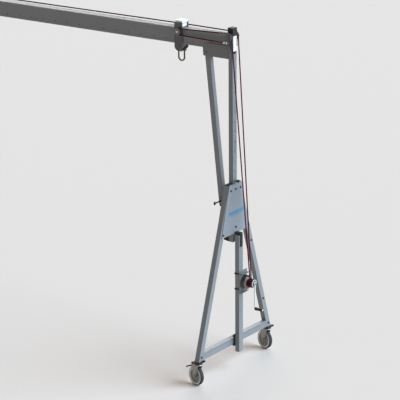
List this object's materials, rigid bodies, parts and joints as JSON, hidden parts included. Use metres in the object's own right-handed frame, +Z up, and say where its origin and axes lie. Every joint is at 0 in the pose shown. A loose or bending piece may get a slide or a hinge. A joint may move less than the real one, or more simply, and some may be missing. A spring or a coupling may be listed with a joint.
{
  "type": "portable gantry crane",
  "caption": "Portable aluminium gantry crane: A-frames on braked swivel casters, height-adjustable masts, a braced beam, and a rope-driven trolley with a shackle.",
  "frame": {"origin": "on the floor, at the middle of the whole crane's length and width", "axes": "+X along the beam towards the winch, +Z up, +Y across the beam to the far side from the reference camera"},
  "size_m": [4.4386, 1.209, 3.081],
  "materials": {
    "aluminium": "mill finish, satin",
    "gusset_alu": "anodised, satin",
    "black_fittings": "black, semi matt",
    "steel": "zinc plated",
    "knee_steel": "grey, satin",
    "nylon": "white nylon",
    "trolley_steel": "grey, satin",
    "sheave": "turned",
    "gold": "yellow passivated",
    "rope": "braided, dark red",
    "winch_grey": "grey, satin",
    "crank_bright": "bright plated",
    "grip": "moulded, black",
    "fork_zinc": "zinc plated",
    "rim": "light grey nylon",
    "tyre": "solid rubber"
  },
  "bodies": {
    "right_frame": {"right_legs": "aluminium", "right_base_beam": "aluminium", "right_gussets": "gusset_alu", "right_guides": "nylon", "right_fixings": "black_fittings", "right_caster_plates": "black_fittings", "winch_post": "aluminium", "winch_bracket": "aluminium", "fall_ropes": "rope"},
    "left_frame": {"left_legs": "aluminium", "left_base_beam": "aluminium", "left_gussets": "gusset_alu", "left_guides": "nylon", "left_fixings": "black_fittings", "left_caster_plates": "black_fittings"},
    "beam_assembly": {"beam": "aluminium", "right_mast": "aluminium", "left_mast": "aluminium", "knee_brackets": "knee_steel", "right_strut": "aluminium", "left_strut": "aluminium", "mast_heads": "black_fittings", "beam_fixings": "steel", "trolley_ropes": "rope"},
    "near_head_sheave": {"near_head_sheave": "sheave"},
    "far_head_sheave": {"far_head_sheave": "sheave"},
    "trolley": {"trolley_plates": "trolley_steel", "trolley_fixings": "steel", "trolley_block": "nylon"},
    "roller_left": {"trolley_roller_left": "nylon"},
    "roller_right": {"trolley_roller_right": "nylon"},
    "return_sheave": {"trolley_sheave": "sheave"},
    "shackle": {"shackle": "gold", "shackle_pin": "steel"},
    "winch": {"winch_drum": "winch_grey", "drum_rope": "rope", "ratchet_disc": "crank_bright", "winch_crank": "crank_bright"},
    "crank_grip": {"crank_grip": "grip"},
    "pawl": {"winch_pawl": "black_fittings"},
    "right_lock": {"right_lock_plunger": "black_fittings"},
    "left_lock": {"left_lock_plunger": "black_fittings"},
    "right_strut_pin": {"right_strut_pin": "black_fittings"},
    "left_strut_pin": {"left_strut_pin": "black_fittings"},
    "fork_rn": {"fork_rn": "fork_zinc"},
    "wheel_rn": {"rim_rn": "rim", "tyre_rn": "tyre"},
    "brake_rn": {"brake_rn": "black_fittings"},
    "fork_rf": {"fork_rf": "fork_zinc"},
    "wheel_rf": {"rim_rf": "rim", "tyre_rf": "tyre"},
    "brake_rf": {"brake_rf": "black_fittings"},
    "fork_ln": {"fork_ln": "fork_zinc"},
    "wheel_ln": {"rim_ln": "rim", "tyre_ln": "tyre"},
    "brake_ln": {"brake_ln": "black_fittings"},
    "fork_lf": {"fork_lf": "fork_zinc"},
    "wheel_lf": {"rim_lf": "rim", "tyre_lf": "tyre"},
    "brake_lf": {"brake_lf": "black_fittings"}
  },
  "joints": [
    {"name": "height", "type": "slide", "parent": "right_frame", "child": "beam_assembly", "axis": [0, 0, 1], "range_m": [-0.7, 0], "deforming": ["fall_ropes"]},
    {"name": "left_height", "type": "slide", "parent": "beam_assembly", "child": "left_frame", "axis": [0, 0, 1], "range_m": [0, 0.7]},
    {"name": "trolley_travel", "type": "slide", "parent": "beam_assembly", "child": "trolley", "axis": [1, 0, 0], "range_m": [-3.14, 0.2], "deforming": ["trolley_ropes"]},
    {"name": "roller_left_spin", "type": "hinge", "parent": "trolley", "child": "roller_left", "pos_m": [1.38434, 0, 3.0353], "axis": [0, 1, 0], "continuous": true},
    {"name": "roller_right_spin", "type": "hinge", "parent": "trolley", "child": "roller_right", "pos_m": [1.42134, 0, 3.0353], "axis": [0, 1, 0], "continuous": true},
    {"name": "return_sheave_spin", "type": "hinge", "parent": "trolley", "child": "return_sheave", "pos_m": [1.40284, 0, 2.987], "axis": [0, 1, 0], "continuous": true},
    {"name": "near_sheave_spin", "type": "hinge", "parent": "beam_assembly", "child": "near_head_sheave", "pos_m": [1.92284, 0, 2.997], "axis": [0, 1, 0], "continuous": true},
    {"name": "far_sheave_spin", "type": "hinge", "parent": "beam_assembly", "child": "far_head_sheave", "pos_m": [1.92284, 0, 2.997], "axis": [0, 1, 0], "continuous": true},
    {"name": "shackle_swing", "type": "hinge", "parent": "trolley", "child": "shackle", "pos_m": [1.40284, 0, 2.821], "axis": [1, 0, 0], "range_deg": [-50, 50]},
    {"name": "winch_spin", "type": "hinge", "parent": "right_frame", "child": "winch", "pos_m": [2.12234, 0.035, 0.805], "axis": [1, 0, 0], "continuous": true},
    {"name": "grip_spin", "type": "hinge", "parent": "winch", "child": "crank_grip", "pos_m": [2.12934, 0.035, 0.576], "axis": [1, 0, 0], "continuous": true},
    {"name": "pawl_lift", "type": "hinge", "parent": "right_frame", "child": "pawl", "pos_m": [2.12234, -0.017, 0.885], "axis": [1, 0, 0], "range_deg": [0, 40]},
    {"name": "right_lock_push", "type": "slide", "parent": "right_frame", "child": "right_lock", "axis": [-1, 0, 0], "range_m": [0, 0.012]},
    {"name": "left_lock_push", "type": "slide", "parent": "left_frame", "child": "left_lock", "axis": [1, 0, 0], "range_m": [0, 0.012]},
    {"name": "right_strut_pin_pull", "type": "slide", "parent": "beam_assembly", "child": "right_strut_pin", "axis": [0, -1, 0], "range_m": [0, 0.17]},
    {"name": "left_strut_pin_pull", "type": "slide", "parent": "beam_assembly", "child": "left_strut_pin", "axis": [0, -1, 0], "range_m": [0, 0.17]},
    {"name": "swivel_rn", "type": "hinge", "parent": "right_frame", "child": "fork_rn", "pos_m": [1.93084, -0.547, 0.2015], "axis": [0, 0, 1], "continuous": true},
    {"name": "roll_rn", "type": "hinge", "parent": "fork_rn", "child": "wheel_rn", "pos_m": [1.90413, -0.53858, 0.0875], "axis": [-0.3007, -0.9537, 0], "continuous": true},
    {"name": "brake_rn_press", "type": "hinge", "parent": "fork_rn", "child": "brake_rn", "pos_m": [1.87171, -0.52836, 0.1775], "axis": [-0.3007, -0.9537, 0], "range_deg": [0, 12]},
    {"name": "swivel_rf", "type": "hinge", "parent": "right_frame", "child": "fork_rf", "pos_m": [1.93084, 0.547, 0.2015], "axis": [0, 0, 1], "continuous": true},
    {"name": "roll_rf", "type": "hinge", "parent": "fork_rf", "child": "wheel_rf", "pos_m": [1.90413, 0.55542, 0.0875], "axis": [-0.3007, -0.9537, 0], "continuous": true},
    {"name": "brake_rf_press", "type": "hinge", "parent": "fork_rf", "child": "brake_rf", "pos_m": [1.87171, 0.56564, 0.1775], "axis": [-0.3007, -0.9537, 0], "range_deg": [0, 12]},
    {"name": "swivel_ln", "type": "hinge", "parent": "left_frame", "child": "fork_ln", "pos_m": [-2.06916, -0.547, 0.2015], "axis": [0, 0, 1], "continuous": true},
    {"name": "roll_ln", "type": "hinge", "parent": "fork_ln", "child": "wheel_ln", "pos_m": [-2.09587, -0.53858, 0.0875], "axis": [-0.3007, -0.9537, 0], "continuous": true},
    {"name": "brake_ln_press", "type": "hinge", "parent": "fork_ln", "child": "brake_ln", "pos_m": [-2.12829, -0.52836, 0.1775], "axis": [-0.3007, -0.9537, 0], "range_deg": [0, 12]},
    {"name": "swivel_lf", "type": "hinge", "parent": "left_frame", "child": "fork_lf", "pos_m": [-2.06916, 0.547, 0.2015], "axis": [0, 0, 1], "continuous": true},
    {"name": "roll_lf", "type": "hinge", "parent": "fork_lf", "child": "wheel_lf", "pos_m": [-2.09587, 0.55542, 0.0875], "axis": [-0.3007, -0.9537, 0], "continuous": true},
    {"name": "brake_lf_press", "type": "hinge", "parent": "fork_lf", "child": "brake_lf", "pos_m": [-2.12829, 0.56564, 0.1775], "axis": [-0.3007, -0.9537, 0], "range_deg": [0, 12]}
  ],
  "couplings": [
    {"joint": "left_height", "follows": "height", "ratio": -1},
    {"joint": "roller_left_spin", "follows": "trolley_travel", "rad_per_m": 58.824},
    {"joint": "roller_right_spin", "follows": "trolley_travel", "rad_per_m": 58.824},
    {"joint": "return_sheave_spin", "follows": "trolley_travel", "rad_per_m": 37.037},
    {"joint": "near_sheave_spin", "follows": "trolley_travel", "rad_per_m": 58.824},
    {"joint": "far_sheave_spin", "follows": "trolley_travel", "rad_per_m": -58.824},
    {"joint": "winch_spin", "follows": "trolley_travel", "rad_per_m": -55.866}
  ]
}
